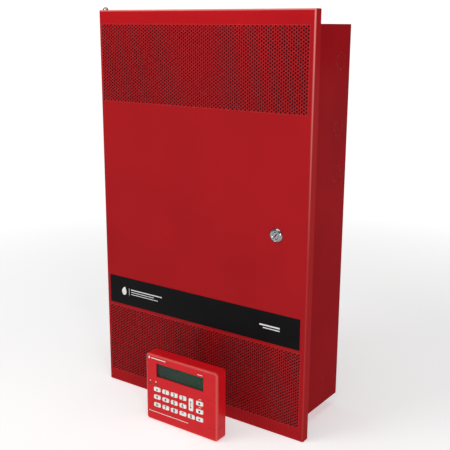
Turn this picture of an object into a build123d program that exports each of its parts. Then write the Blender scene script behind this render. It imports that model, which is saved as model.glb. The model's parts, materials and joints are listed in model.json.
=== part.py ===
from build123d import *
import os
from math import cos, radians, sin

# Wall-hung fire alarm control panel: a steel cabinet with a pivoting, locked door, the electronics
# and standby batteries inside it, and the keypad that operates it.
# Millimetres. X runs along the wall, +Y goes into the wall, +Z is up. The origin is on the wall,
# in the middle of the cabinet's four mounting holes.

# ---------------------------------------------------------------- driving dimensions
SHEET = 1.5                      # 16 gauge steel
DOOR_W, DOOR_H, DOOR_FLANGE = 503.5, 812.8, 19.05
DOOR_BEND, DOOR_CORNER = 3.5, 1.4
OVERHANG = 25.4                  # the door stands past the box on every side
DOOR_FRONT = -185.4              # the door's front face, from the wall
DOOR_GAP = 2.0                   # between the door skin and the lips of the box
BOX_W, BOX_H = DOOR_W - 2 * OVERHANG, DOOR_H - 2 * OVERHANG
BOX_D = -DOOR_FRONT - SHEET - DOOR_GAP
LIP = 12.7

PIVOT_IN, PIVOT_BACK = 10.5, 9.5  # hinge axis, from the door's left edge and front face
PIN_R, PIN_GAP, PIN_HEAD_R, PIN_HEAD_H, COLLAR_R = 3.0, 0.05, 5.5, 5.5, 5.5
EAR_T, EAR_HALF = 3.0, 4.8

# Punched vents. The sheet's real pattern is 3/8 by 1/4 inch, staggered; the holes here are three
# times as large and as far apart, over the same field and with the same open area.
HOLE_SCALE = 3
HOLE_R, HOLE_PITCH_X, HOLE_ROW = 1.95 * HOLE_SCALE, 9.525 * HOLE_SCALE, 3.175 * HOLE_SCALE
HOLE_ROWS, HOLES_IN_ROW = 48 // HOLE_SCALE, 51 // HOLE_SCALE
VENT_LEFT, VENT_MARGIN = 6.4, 3.0
VENT_W, VENT_H = 487.0125, 155.225    # each punched panel, with its plain margin
VENT_BOTTOMS = {"upper": 633.4, "lower": 30.2}   # lowest row of each band, above the door's edge
SCREEN_T, SCREEN_LAP = 0.8, 2.5   # dust screens behind the holes, and how far they lap the sheet
STRIP_LEFT, STRIP_W, STRIP_BOTTOM, STRIP_H, STRIP_T = 9.8, 481.2, 188.6, 62.3, 0.5

LOCK_IN, LOCK_UP = 434.6, 405.3
BEZEL_R, BEZEL_H, BARREL_R, BARREL_L, PLUG_R = 13.5, 4.4, 9.4, 17.0, 6.5
CAM_L, CAM_W, CAM_T = 40.0, 13.0, 2.0

MOUNT_X, MOUNT_Z, MOUNT_R = 330.2, 609.6, 3.6
KNOCKOUT_Z = (720.0, 594.0, 504.0)   # side knockouts, above the door's edge
KNOCKOUT_Y, END_KNOCKOUT_X = -36.2, (-120.0, 0.0, 120.0)
KNOCKOUT_R, KNOCKOUT_SMALL_R, GROOVE_W, GROOVE_T, BRIDGE_W = 16.6, 11.1, 1.3, 0.7, 4.0
DIMPLE_Y, DIMPLE_Z, DIMPLE_R = -60.6, (-324.4, 345.6), 2.6

KEYPAD_W, KEYPAD_H, KEYPAD_D = 178.0, 144.0, 29.0
KEYPAD_LEFT, KEYPAD_AHEAD = 191.5, 97.0   # from the door's left edge, and ahead of its face
CASE_T = 2.2
KEY_W, KEY_H, KEY_PROUD, KEY_GAP, KEY_CORNER = 16.6, 8.8, 1.8, 0.25, 2.2
KEY_COLS = (30.3, 52.1, 73.9, 95.6, 116.4, 137.0)
KEY_ROWS = (71.8, 54.9, 38.0)
TALL_KEY = (115.8, 63.4, 10.4, 26.0)
LCD = (28.0, 145.5, 98.5, 127.5)

# ---------------------------------------------------------------- derived places
DOOR_LEFT, DOOR_BOTTOM = -DOOR_W / 2, -DOOR_H / 2
PIVOT_X, PIVOT_Y = DOOR_LEFT + PIVOT_IN, DOOR_FRONT + PIVOT_BACK
LOCK_X, LOCK_Z = DOOR_LEFT + LOCK_IN, DOOR_BOTTOM + LOCK_UP
SKIN_BACK = DOOR_FRONT + SHEET
KX, KY, KZ = DOOR_LEFT + KEYPAD_LEFT, DOOR_FRONT - KEYPAD_AHEAD, DOOR_BOTTOM

os.makedirs("parts", exist_ok=True)


def write(builder, name):
    builder.part.label = name
    export_step(builder.part, f"parts/{name}.step")


def facing(y):
    """A plane that faces the room, with its origin over the part's origin at depth y."""
    return Plane(origin=(0, y, 0), x_dir=(1, 0, 0), z_dir=(0, -1, 0))


def slab(x, y, z, mode=Mode.ADD):
    """A block between two values on each axis."""
    with Locations(((x[0] + x[1]) / 2, (y[0] + y[1]) / 2, (z[0] + z[1]) / 2)):
        Box(x[1] - x[0], y[1] - y[0], z[1] - z[0], mode=mode)


def bend_radii(points, ratio=0.45):
    """Radius of each bend, as large as the straight runs beside its corner allow."""
    radii = []
    for before, corner, after in zip(points, points[1:], points[2:]):
        a, b = Vector(*corner) - Vector(*before), Vector(*after) - Vector(*corner)
        half_turn = radians(a.get_angle(b)) / 2
        radii.append(ratio * min(a.length, b.length) * cos(half_turn) / sin(half_turn))
    return radii


# ================================================================ cabinet
def cut_knockouts(wall, places, dimples=()):
    """Grooves of partly punched knockouts, two bridges left in each ring, and round tooling dimples."""
    with BuildSketch(wall) as grooves:
        with Locations(*places):
            for ring in (KNOCKOUT_SMALL_R, KNOCKOUT_R):
                Circle(ring)
                Circle(ring - GROOVE_W, mode=Mode.SUBTRACT)
            Rectangle(2 * KNOCKOUT_R + 2, BRIDGE_W, mode=Mode.SUBTRACT)
        if dimples:
            with Locations(*dimples):
                Circle(DIMPLE_R)
    extrude(grooves.sketch, amount=-GROOVE_T, mode=Mode.SUBTRACT)


def make_back_box():
    with BuildPart() as box:
        slab((-BOX_W / 2, BOX_W / 2), (-BOX_D, 0), (-BOX_H / 2, BOX_H / 2))
        fillet(box.edges().filter_by(Axis.Y), radius=1.2)
        inner_w, inner_h = BOX_W / 2 - SHEET, BOX_H / 2 - SHEET
        slab((-inner_w, inner_w), (-BOX_D + SHEET, -SHEET), (-inner_h, inner_h), Mode.SUBTRACT)
        open_w, open_h = BOX_W / 2 - LIP, BOX_H / 2 - LIP
        slab((-open_w, open_w), (-BOX_D - 1, -BOX_D + SHEET + 1), (-open_h, open_h), Mode.SUBTRACT)
        # wall mounting holes
        with BuildSketch(facing(0)):
            with GridLocations(MOUNT_X, MOUNT_Z, 2, 2):
                Circle(MOUNT_R)
        extrude(amount=SHEET + 1, both=True, mode=Mode.SUBTRACT)
        for side in (-1, 1):
            wall = Plane(origin=(side * BOX_W / 2, 0, 0), x_dir=(0, side, 0), z_dir=(side, 0, 0))
            places = [(side * KNOCKOUT_Y, DOOR_BOTTOM + z) for z in KNOCKOUT_Z]
            cut_knockouts(wall, places, [(side * DIMPLE_Y, z) for z in DIMPLE_Z])
        for end in (-1, 1):
            wall = Plane(origin=(0, KNOCKOUT_Y, end * BOX_H / 2), x_dir=(1, 0, 0), z_dir=(0, 0, end))
            cut_knockouts(wall, [(x, 0) for x in END_KNOCKOUT_X])
    return box


def make_hinge_ear(top):
    """Flat bracket on the box's end wall that carries one pivot pin beside the box."""
    side = 1 if top else -1
    seat = Plane(origin=(0, 0, side * BOX_H / 2), x_dir=(1, 0, 0), z_dir=(0, 0, side))
    box_left = -BOX_W / 2
    with BuildPart() as ear:
        with BuildSketch(seat):
            with Locations((PIVOT_X, side * PIVOT_Y)):
                Circle(EAR_HALF)
            with Locations(((PIVOT_X + box_left + 60) / 2, side * PIVOT_Y)):
                Rectangle(box_left + 60 - PIVOT_X, 2 * EAR_HALF)
            with Locations((box_left + 32, side * (PIVOT_Y + 17))):
                Rectangle(56, 44)
            with Locations((PIVOT_X, side * PIVOT_Y)):
                Circle(PIN_R, mode=Mode.SUBTRACT)
        extrude(amount=EAR_T)
    return ear


def make_pivot_pin(top):
    """Pin fixed in its ear, with a collar that spaces the door's flange off the ear."""
    side = 1 if top else -1
    root = BOX_H / 2
    collar = (root + EAR_T, DOOR_H / 2 - SHEET - PIN_GAP)
    head = DOOR_H / 2 + 0.1
    tip = DOOR_H / 2 - 0.3
    rim = 1.4
    dome_centre = (PIN_HEAD_H**2 - rim**2 - PIN_HEAD_R**2) / (2 * (PIN_HEAD_H - rim))
    dome_reach = (PIN_HEAD_H - dome_centre) * sin(radians(45))
    outline = [(0, root), (PIN_R, root), (PIN_R, collar[0]), (COLLAR_R, collar[0])]
    outline += [(COLLAR_R, collar[1]), (PIN_R, collar[1])]
    if top:
        outline += [(PIN_R, head), (PIN_HEAD_R, head), (PIN_HEAD_R, head + rim)]
        crown = (0, head + PIN_HEAD_H)
    else:
        outline += [(PIN_R, tip)]
        crown = (0, tip)
    with BuildPart() as pin:
        with BuildSketch(Plane(origin=(PIVOT_X, PIVOT_Y, 0), x_dir=(1, 0, 0), z_dir=(0, -1, 0))):
            with BuildLine():
                Polyline(*[(r, side * z) for r, z in outline])
                last = (outline[-1][0], side * outline[-1][1])
                if top:
                    ThreePointArc(last, (dome_reach, head + dome_centre + dome_reach), crown)
                else:
                    Line(last, (0, side * crown[1]))
                Line((0, side * crown[1]), (0, side * root))
            make_face()
        revolve(axis=Axis((PIVOT_X, PIVOT_Y, 0), (0, 0, 1)))
    return pin


def make_lock_keeper():
    """Folded steel channel welded behind the box's right lip; the cam turns in behind it."""
    left, right = BOX_W / 2 - LIP + 0.8, BOX_W / 2 - 3.6
    front = -BOX_D + SHEET
    back = SKIN_BACK + BARREL_L - 0.9
    with BuildPart() as keeper:
        slab((left, right), (front, back), (LOCK_Z - 14, LOCK_Z + 14))
        hollow = (front + SHEET, back - SHEET)
        slab((left - 1, right - SHEET), hollow, (LOCK_Z - 15, LOCK_Z + 15), Mode.SUBTRACT)
        fillet(keeper.edges().filter_by(Axis.Z).group_by(Axis.X)[-1], radius=1.0)
    return keeper


# ================================================================ door
def vent_window(bottom):
    """Left, right, low and high edges of one perforated panel."""
    left, low = DOOR_LEFT + VENT_LEFT, DOOR_BOTTOM + bottom - VENT_MARGIN
    return left, left + VENT_W, low, low + VENT_H


def vent_holes(bottom):
    """Centres of one panel's holes, in staggered rows that are centred on it."""
    west, east, low, high = vent_window(bottom)
    first_x = (west + east - (HOLES_IN_ROW - 0.5) * HOLE_PITCH_X) / 2
    first_z = (low + high - (HOLE_ROWS - 1) * HOLE_ROW) / 2
    for row in range(HOLE_ROWS):
        stagger = HOLE_PITCH_X / 2 if row % 2 else 0
        for col in range(HOLES_IN_ROW):
            yield first_x + col * HOLE_PITCH_X + stagger, first_z + row * HOLE_ROW


def make_door_pan():
    right, top = DOOR_W / 2, DOOR_H / 2
    with BuildPart() as pan:
        slab((DOOR_LEFT, right), (DOOR_FRONT, DOOR_FRONT + DOOR_FLANGE), (DOOR_BOTTOM, top))
        fillet(pan.edges().filter_by(Axis.Y), radius=DOOR_CORNER)
        fillet(pan.faces().sort_by(Axis.Y)[0].edges(), radius=DOOR_BEND)
        inner_w, inner_h = right - SHEET, top - SHEET
        with BuildSketch(facing(SKIN_BACK)):
            Rectangle(2 * inner_w, 2 * inner_h)
        extrude(amount=-DOOR_FLANGE, mode=Mode.SUBTRACT)
        for bottom in VENT_BOTTOMS.values():
            west, east, low, high = vent_window(bottom)
            slab((west, east), (DOOR_FRONT - 1, SKIN_BACK + 1), (low, high), Mode.SUBTRACT)
        with Locations((PIVOT_X, PIVOT_Y, 0)):
            Cylinder(PIN_R + PIN_GAP, DOOR_H + 4, mode=Mode.SUBTRACT)
        with BuildSketch(facing(SKIN_BACK + 1)):
            with Locations((LOCK_X, LOCK_Z)):
                Circle(BARREL_R)
        extrude(amount=SHEET + 2, mode=Mode.SUBTRACT)
    return pan


def make_vent_grille(bottom):
    """Punched area of the door skin, one sheet thick and flush with the rest of the skin."""
    west, east, low, high = vent_window(bottom)
    rim = Wire.make_polygon([(west, DOOR_FRONT, low), (east, DOOR_FRONT, low),
                             (east, DOOR_FRONT, high), (west, DOOR_FRONT, high)])
    holes = [
        Wire.make_circle(HOLE_R, Plane(origin=(x, DOOR_FRONT, z), x_dir=(1, 0, 0), z_dir=(0, -1, 0)))
        for x, z in vent_holes(bottom)
    ]
    return Part(Solid.extrude(Face(rim, holes), (0, SHEET, 0)).wrapped)


def make_vent_screens():
    """Fine dark dust screens, glued to the back of the door skin behind the holes."""
    with BuildPart() as screens:
        for bottom in VENT_BOTTOMS.values():
            west, east, low, high = vent_window(bottom)
            slab((west - SCREEN_LAP, east + SCREEN_LAP), (SKIN_BACK, SKIN_BACK + SCREEN_T),
                 (low - SCREEN_LAP, high + SCREEN_LAP))
    return screens


def make_label_strip():
    left, low = DOOR_LEFT + STRIP_LEFT, DOOR_BOTTOM + STRIP_BOTTOM
    with BuildPart() as strip:
        slab((left, left + STRIP_W), (DOOR_FRONT - STRIP_T, DOOR_FRONT), (low, low + STRIP_H))
        fillet(strip.edges().filter_by(Axis.Y), radius=1.0)
    return strip


# ================================================================ cam lock
def lock_profile(points):
    """Revolves an outline of (radius, distance behind the door's face) about the lock's axis."""
    with BuildPart() as turned:
        with BuildSketch(Plane(origin=(LOCK_X, 0, LOCK_Z), x_dir=(1, 0, 0), z_dir=(0, 0, 1))):
            with BuildLine():
                Polyline(*[(r, DOOR_FRONT + y) for r, y in points], close=True)
            make_face()
        revolve(axis=Axis((LOCK_X, 0, LOCK_Z), (0, 1, 0)))
    return turned


def make_lock_barrel():
    """Chrome barrel with a domed, grooved bezel that seats on the door's face."""
    bore = PLUG_R + PIN_GAP
    bezel = [(bore, -BEZEL_H + 1.2), (7.6, -BEZEL_H + 0.2), (9.0, -BEZEL_H), (10.4, -BEZEL_H + 0.3)]
    bezel += [(10.8, -BEZEL_H + 0.9), (11.2, -BEZEL_H + 0.7), (12.5, -BEZEL_H + 1.8), (BEZEL_R, -1.2)]
    bezel += [(BEZEL_R, 0), (BARREL_R, 0), (BARREL_R, SHEET + BARREL_L), (bore, SHEET + BARREL_L)]
    return lock_profile(bezel)


def make_lock_plug():
    """Key plug; its flat end behind the barrel drives the cam."""
    rear = SHEET + BARREL_L + 0.2
    face = -BEZEL_H + 1.3
    plug = lock_profile([(0, face), (PLUG_R - 0.5, face), (PLUG_R, face + 0.5), (PLUG_R, rear), (0, rear)])
    with BuildPart() as keyed:
        add(plug.part)
        with BuildSketch(facing(DOOR_FRONT + face - 0.5)):
            with Locations(Location((LOCK_X, LOCK_Z), 55)):
                SlotOverall(9.0, 2.2)
        extrude(amount=-6.5, mode=Mode.SUBTRACT)
        with BuildSketch(facing(DOOR_FRONT + rear)):
            with Locations((LOCK_X, LOCK_Z)):
                Rectangle(7.0, 7.0)
        extrude(amount=-CAM_T)
    return keyed


def make_lock_cam():
    front = DOOR_FRONT + SHEET + BARREL_L + 0.2
    with BuildPart() as cam:
        with BuildSketch(facing(front)):
            with Locations((LOCK_X, LOCK_Z)):
                Circle(9.2)
            with Locations((LOCK_X, LOCK_Z + CAM_L / 2 - CAM_W / 4)):
                Rectangle(CAM_W, CAM_L - CAM_W / 2)
            with Locations((LOCK_X, LOCK_Z + CAM_L - CAM_W / 2)):
                Circle(CAM_W / 2)
            with Locations((LOCK_X, LOCK_Z)):
                Rectangle(7.0, 7.0, mode=Mode.SUBTRACT)
        extrude(amount=-CAM_T)
    return cam


def make_lock_fasteners():
    """Hexagon nut that clamps the barrel, and the screw that holds the cam."""
    with BuildPart() as nut:
        with BuildSketch(facing(SKIN_BACK)):
            with Locations((LOCK_X, LOCK_Z)):
                RegularPolygon(radius=13.0, side_count=6, major_radius=False)
                Circle(BARREL_R, mode=Mode.SUBTRACT)
        extrude(amount=-5.0)
    back = DOOR_FRONT + SHEET + BARREL_L + 0.2 + CAM_T
    with BuildPart() as screw:
        with BuildSketch(facing(back)):
            with Locations((LOCK_X, LOCK_Z)):
                Circle(5.4)
        extrude(amount=-2.4)
        chamfer(screw.edges().sort_by(Axis.Y)[-1], length=0.7)
        with BuildSketch(facing(back + 2.4)):
            with Locations((LOCK_X, LOCK_Z)):
                Rectangle(8.0, 1.2)
        extrude(amount=1.1, mode=Mode.SUBTRACT)
    return nut, screw


# ================================================================ electronics in the cabinet
PLATE_X, PLATE_Z, PLATE_T = (-200.0, 200.0), (-175.0, 350.0), 1.5
PLATE_BACK = -12.0
BOARD_T, BOARD_BACK = 1.6, -26.0
BOARD_FRONT = BOARD_BACK - BOARD_T
MAIN_BOARD = ((-185.0, 110.0), (60.0, 325.0))
EXPANDERS = (((-185.0, -45.0), (-150.0, 30.0)), ((-30.0, 110.0), (-150.0, 30.0)))
STRIP_DEPTH, STRIP_TALL, POLE_PITCH = 13.0, 13.0, 5.8


def make_mounting_plate():
    front = PLATE_BACK - PLATE_T
    with BuildPart() as plate:
        slab(PLATE_X, (front, PLATE_BACK), PLATE_Z)
        fillet(plate.edges().filter_by(Axis.Y), radius=4)
        for z in PLATE_Z:
            inward = 1 if z < 0 else -1
            flange = sorted((z, z + inward * PLATE_T))
            slab((PLATE_X[0] + 6, PLATE_X[1] - 6), (front - 8, front), flange)
        with BuildSketch(facing(front - 1)):
            with Locations((165, -120), (165, -70), (165, -20), (165, 30), (165, 80), (165, 130)):
                SlotOverall(22, 7)
        extrude(amount=-PLATE_T - 2, mode=Mode.SUBTRACT)
    return plate


def make_standoffs():
    """Spacers behind the mounting plate, and the nylon ones under each board."""
    corners = [(x, z) for x in (-185, 185) for z in (-160, 335)]
    boards = []
    for (west, east), (low, high) in (MAIN_BOARD, *EXPANDERS):
        boards += [(x, z) for x in (west + 6, east - 6) for z in (low + 6, high - 6)]
    with BuildPart() as standoffs:
        with BuildSketch(facing(PLATE_BACK)):
            with Locations(*corners):
                RegularPolygon(radius=4.5, side_count=6)
        extrude(amount=PLATE_BACK + SHEET)
        with BuildSketch(facing(PLATE_BACK - PLATE_T)):
            with Locations(*boards):
                RegularPolygon(radius=3.4, side_count=6)
        extrude(amount=PLATE_BACK - PLATE_T - BOARD_BACK)
        with BuildSketch(facing(BOARD_FRONT)):
            with Locations(*boards):
                Circle(2.9)
        extrude(amount=1.8)
    return standoffs


def make_board(outline):
    (west, east), (low, high) = outline
    with BuildPart() as board:
        slab((west, east), (BOARD_FRONT, BOARD_BACK), (low, high))
        fillet(board.edges().filter_by(Axis.Y), radius=2)
    return board


def make_terminal_strip(west, low, poles):
    """Screw terminal strip with a wire mouth below and a screw pocket in front of each pole."""
    width = poles * POLE_PITCH
    with BuildPart() as strip:
        slab((west, west + width), (BOARD_FRONT - STRIP_DEPTH, BOARD_FRONT), (low, low + STRIP_TALL))
        chamfer(strip.edges().filter_by(Axis.X).group_by(Axis.Y)[0].sort_by(Axis.Z)[-1], length=3)
        centres = [west + (pole + 0.5) * POLE_PITCH for pole in range(poles)]
        with BuildSketch(facing(BOARD_FRONT - STRIP_DEPTH)):
            with Locations(*[(x, low + 4.8) for x in centres]):
                Circle(2.1)
        extrude(amount=-3, mode=Mode.SUBTRACT)
        with BuildSketch(Plane(origin=(0, 0, low), x_dir=(1, 0, 0), z_dir=(0, 0, -1))):
            with Locations(*[(x, -(BOARD_FRONT - 5.0)) for x in centres]):
                Rectangle(4.2, 4.2)
        extrude(amount=-4, mode=Mode.SUBTRACT)
    return strip


def make_board_components():
    """Relays, capacitors and chips that stand on the boards."""
    with BuildPart() as parts:
        for x in range(4):
            slab((-172 + 26 * x, -152 + 26 * x), (BOARD_FRONT - 15.5, BOARD_FRONT), (92, 120))
        for x, z, wide, tall, rise in (
            (-60, 190, 28, 28, 3.4), (-130, 190, 24, 36, 3.0), (-130, 250, 30, 14, 4.2),
            (-70, 250, 16, 16, 2.4), (0, 215, 20, 20, 2.6), (-120, -60, 24, 24, 3.0), (40, -60, 24, 24, 3.0),
            (-150, 290, 40, 10, 8.5), (-85, 290, 40, 10, 8.5), (-145, -10, 18, 14, 12.0),
            (-115, -10, 18, 14, 12.0), (15, -10, 18, 14, 12.0), (45, -10, 18, 14, 12.0),
            (75, -10, 18, 14, 12.0),
        ):
            depth = (BOARD_FRONT - rise, BOARD_FRONT)
            slab((x - wide / 2, x + wide / 2), depth, (z - tall / 2, z + tall / 2))
        with BuildSketch(facing(BOARD_FRONT)):
            with Locations((55, 130), (80, 130), (55, 155), (80, 155)):
                Circle(9)
        extrude(amount=26)
        with BuildSketch(facing(BOARD_FRONT)):
            with Locations((-20, 285), (-4, 285), (12, 285), (-75, -105), (85, -105), (-12, 120)):
                Circle(5)
        extrude(amount=13)
    return parts


def make_heat_sink():
    with BuildPart() as sink:
        slab((38, 100), (BOARD_FRONT - 5, BOARD_FRONT - 0.4), (205, 270))
        for fin in range(9):
            x = 39 + 7.25 * fin
            slab((x, x + 2), (BOARD_FRONT - 26, BOARD_FRONT - 5), (205, 270))
    return sink


def make_transformer():
    """Laminated core with mounting feet, and its bobbin and winding."""
    x, y, z = (128, 194), (-68, -18), (230, 300)
    face = PLATE_BACK - PLATE_T
    with BuildPart() as core:
        slab(x, y, z)
        slab((x[0] + 14, x[1] - 14), (y[0] + 13, y[1] - 13), (z[0] - 1, z[1] + 1), Mode.SUBTRACT)
        slab((x[0], x[1]), (face - 2.5, face), (z[0] - 12, z[1] + 12))
        slab((x[0] + 6, x[1] - 6), (y[1], face - 2.5), (z[0] + 4, z[1] - 4))
    with BuildPart() as coil:
        slab((x[0] + 14.3, x[1] - 14.3), (y[0] + 13.3, y[1] - 13.3), (z[0] - 7, z[1] + 7))
        fillet(coil.edges().filter_by(Axis.Z), radius=4)
    return core, coil


def make_ac_supply():
    """Mains terminal block, and the clear cover that snaps over it."""
    face = PLATE_BACK - PLATE_T
    with BuildPart() as block:
        slab((132, 190), (face - 16, face), (182, 206))
        for pole in range(4):
            slab((134 + 14 * pole, 146 + 14 * pole - 2), (face - 17, face - 8), (186, 202), Mode.SUBTRACT)
        with BuildSketch(facing(face - 8)):
            with Locations(*[(139 + 14 * pole, 194) for pole in range(4)]):
                Circle(3.6)
        extrude(amount=4)
    with BuildPart() as cover:
        slab((128, 194), (face - 24, face), (176, 212))
        fillet(cover.faces().sort_by(Axis.Y)[0].edges(), radius=2)
        slab((130, 192), (face - 22, face + 1), (178, 210), Mode.SUBTRACT)
        slab((144, 178), (face - 14, face + 1), (175, 179), Mode.SUBTRACT)
    return block, cover


# ================================================================ standby batteries
BATTERY_W, BATTERY_D, BATTERY_H = 181.0, 76.2, 167.0
BATTERY_X = (-94.5, 94.5)
BATTERY_BACK, BATTERY_BASE = -3.0, -BOX_H / 2 + SHEET
POST_OFF, POST_H, LEAD_D = 75.0, 6.5, 2.6
BATTERY_MID_Y = BATTERY_BACK - BATTERY_D / 2
LEAD_Z = BATTERY_BASE + BATTERY_H + POST_H


def make_battery(x):
    top = BATTERY_BASE + BATTERY_H
    lid = top - 14
    with BuildPart() as battery:
        sides = (x - BATTERY_W / 2, x + BATTERY_W / 2)
        slab(sides, (BATTERY_BACK - BATTERY_D, BATTERY_BACK), (BATTERY_BASE, top))
        fillet(battery.edges().filter_by(Axis.Z), radius=3)
        fillet(battery.faces().sort_by(Axis.Z)[-1].edges(), radius=1.5)
        with BuildSketch(Plane.XY.offset(lid)):
            with Locations((x, BATTERY_MID_Y)):
                Rectangle(BATTERY_W + 2, BATTERY_D + 2)
                Rectangle(BATTERY_W - 1.4, BATTERY_D - 1.4, mode=Mode.SUBTRACT)
        extrude(amount=1.2, mode=Mode.SUBTRACT)
        recess = (BATTERY_MID_Y - 12, BATTERY_MID_Y + 12)
        slab((x - 55, x + 55), recess, (top - 1.2, top + 1), Mode.SUBTRACT)
    return battery


def make_battery_posts():
    top = BATTERY_BASE + BATTERY_H
    with BuildPart() as posts:
        for x in BATTERY_X:
            for side in (-1, 1):
                post = x + side * POST_OFF
                slab((post - 5, post + 5), (BATTERY_MID_Y - 5, BATTERY_MID_Y + 5), (top, top + 3))
                with Locations((post, BATTERY_MID_Y, top + 3 + (POST_H - 3) / 2)):
                    Cylinder(4.0, POST_H - 3)
    return posts


def make_battery_bracket():
    """Bar across the cabinet that keeps the batteries from tipping out."""
    front, wall = BATTERY_BACK - BATTERY_D - 0.4, BOX_W / 2 - SHEET
    low, high = BATTERY_BASE + 70, BATTERY_BASE + 95
    with BuildPart() as bar:
        slab((-wall, wall), (front - SHEET, front), (low, high))
        for side in (-1, 1):
            edge = sorted((side * wall, side * (wall - SHEET)))
            slab(edge, (front, front + 24), (low, high))
    return bar


LEADS = {
    "battery_lead_red": [
        (169.5, BATTERY_MID_Y, LEAD_Z), (170.5, -43, -180), (161, -50, -146), (145, -56, -104),
        (127, -57, -56), (111, -53, -10), (97, -43, 30), (89.9, BOARD_FRONT - 5, 66.0),
    ],
    "battery_lead_black": [
        (-169.5, BATTERY_MID_Y, LEAD_Z), (-171, -44, -180), (-181, -50, -146), (-192, -54, -104),
        (-196, -54, -56), (-191, -52, -10), (-176, -43, 30), (-166.1, BOARD_FRONT - 5, 66.0),
    ],
    "battery_jumper": [
        (-19.5, BATTERY_MID_Y, LEAD_Z), (-18, BATTERY_MID_Y - 1, LEAD_Z + 21),
        (0, BATTERY_MID_Y - 4, LEAD_Z + 33), (18, BATTERY_MID_Y - 1, LEAD_Z + 21),
        (19.5, BATTERY_MID_Y, LEAD_Z),
    ],
}


def make_lead(points):
    with BuildPart() as lead:
        with BuildLine() as route:
            FilletPolyline(*points, radius=bend_radii(points))
        with BuildSketch(Plane(origin=route.line @ 0, z_dir=route.line % 0)):
            Circle(LEAD_D / 2)
        sweep()
    return lead, sum(edge.length for edge in route.edges())


# ================================================================ tamper switch
TAMPER_X, TAMPER_Z, PLUNGER_R, PLUNGER_GAP = 205.5, 170.0, 2.4, 0.3


def make_tamper_switch():
    """Switch on the right wall; the closed door stands just in front of its plunger."""
    wall = BOX_W / 2 - SHEET
    with BuildPart() as switch:
        slab((TAMPER_X - 6, TAMPER_X + 6), (-172, -148), (TAMPER_Z - 10, TAMPER_Z + 10))
        slab((TAMPER_X + 6, wall), (-170, -168), (TAMPER_Z - 14, TAMPER_Z + 14))
        slab((wall - 2, wall), (-168, -148), (TAMPER_Z - 14, TAMPER_Z + 14))
        with Locations((TAMPER_X, -164, TAMPER_Z)):
            Cylinder(PLUNGER_R + PIN_GAP, 20, rotation=(90, 0, 0), mode=Mode.SUBTRACT)
    with BuildPart() as plunger:
        with Locations((TAMPER_X, (SKIN_BACK + PLUNGER_GAP - 158.5) / 2, TAMPER_Z)):
            Cylinder(PLUNGER_R, -158.5 - SKIN_BACK - PLUNGER_GAP, rotation=(90, 0, 0))
        fillet(plunger.edges().sort_by(Axis.Y)[0], radius=1.4)
    return switch, plunger


# ================================================================ keypad
FLANGE_Y = (CASE_T + 0.3, CASE_T + 1.3)
STEM_END, MAT_FRONT, BOARD_Y = 4.6, 6.1, (11.0, 12.6)


def on_keypad(x, y, z):
    """A place given from the keypad's lower left front corner, in the part's frame."""
    return KX + x, KY + y, KZ + z


def keypad_slab(x, y, z, mode=Mode.ADD):
    slab((KX + x[0], KX + x[1]), (KY + y[0], KY + y[1]), (KZ + z[0], KZ + z[1]), mode)


def keypad_blank(inset, depth, corner, edge):
    """Rounded block that the case, its hollow and its back plate are cut from."""
    with BuildPart(mode=Mode.PRIVATE) as blank:
        keypad_slab((inset, KEYPAD_W - inset), (inset, depth), (inset, KEYPAD_H - inset))
        fillet(blank.edges().filter_by(Axis.Y), radius=corner)
        fillet(blank.faces().sort_by(Axis.Y)[0].edges(), radius=edge)
    return blank.part


def key_places():
    """Name, centre, width and height of each key."""
    for row, z in enumerate(KEY_ROWS):
        for col in range(4):
            yield f"key_row{row + 1}_{col + 1}", KEY_COLS[col], z, KEY_W, KEY_H
    yield "key_row3_5", KEY_COLS[4], KEY_ROWS[2], KEY_W, KEY_H
    for row, z in enumerate(KEY_ROWS):
        yield f"key_side_{row + 1}", KEY_COLS[5], z, KEY_W, KEY_H
    yield "key_tall", *TALL_KEY


def make_keypad_front():
    with BuildPart() as case:
        add(keypad_blank(0, KEYPAD_D - 3.0, 7.0, 5.5))
        add(keypad_blank(CASE_T, KEYPAD_D, 5.0, 3.4), mode=Mode.SUBTRACT)
        with BuildSketch(Plane(origin=on_keypad(0, -1, 0), x_dir=(1, 0, 0), z_dir=(0, -1, 0))):
            for _, x, z, wide, tall in key_places():
                with Locations((x, z)):
                    RectangleRounded(wide + 2 * KEY_GAP, tall + 2 * KEY_GAP, KEY_CORNER + KEY_GAP)
            with Locations(((LCD[0] + LCD[1]) / 2, (LCD[2] + LCD[3]) / 2)):
                Rectangle(LCD[1] - LCD[0], LCD[3] - LCD[2])
            with Locations((12, 81), (26.5, 81.5)):
                Rectangle(6.4, 3.0)
        extrude(amount=-CASE_T - 2, mode=Mode.SUBTRACT)
        for z in (27.0, 85.3):
            keypad_slab((154, KEYPAD_W + 1), (-1, 0.5), (z, z + 0.8), Mode.SUBTRACT)
            keypad_slab((KEYPAD_W - 0.5, KEYPAD_W + 1), (-1, 22), (z, z + 0.8), Mode.SUBTRACT)
    return case


def make_keypad_back():
    """Back plate with the posts that carry the keypad's board, screw holes and a cable opening."""
    with BuildPart() as back:
        with BuildSketch(Plane(origin=on_keypad(KEYPAD_W / 2, KEYPAD_D, KEYPAD_H / 2), x_dir=(1, 0, 0),
                               z_dir=(0, -1, 0))):
            RectangleRounded(KEYPAD_W - 1, KEYPAD_H, 6.5)
            with GridLocations(83.5, 96.0, 2, 2):
                Circle(2.3, mode=Mode.SUBTRACT)
            Rectangle(30, 22, mode=Mode.SUBTRACT)
        extrude(amount=3.0)
        with BuildSketch(Plane(origin=on_keypad(KEYPAD_W / 2, KEYPAD_D - 3, KEYPAD_H / 2), x_dir=(1, 0, 0),
                               z_dir=(0, -1, 0))):
            with GridLocations(150, 116, 2, 2):
                Circle(3.5)
        extrude(amount=KEYPAD_D - 3 - BOARD_Y[1])
    return back


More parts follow.
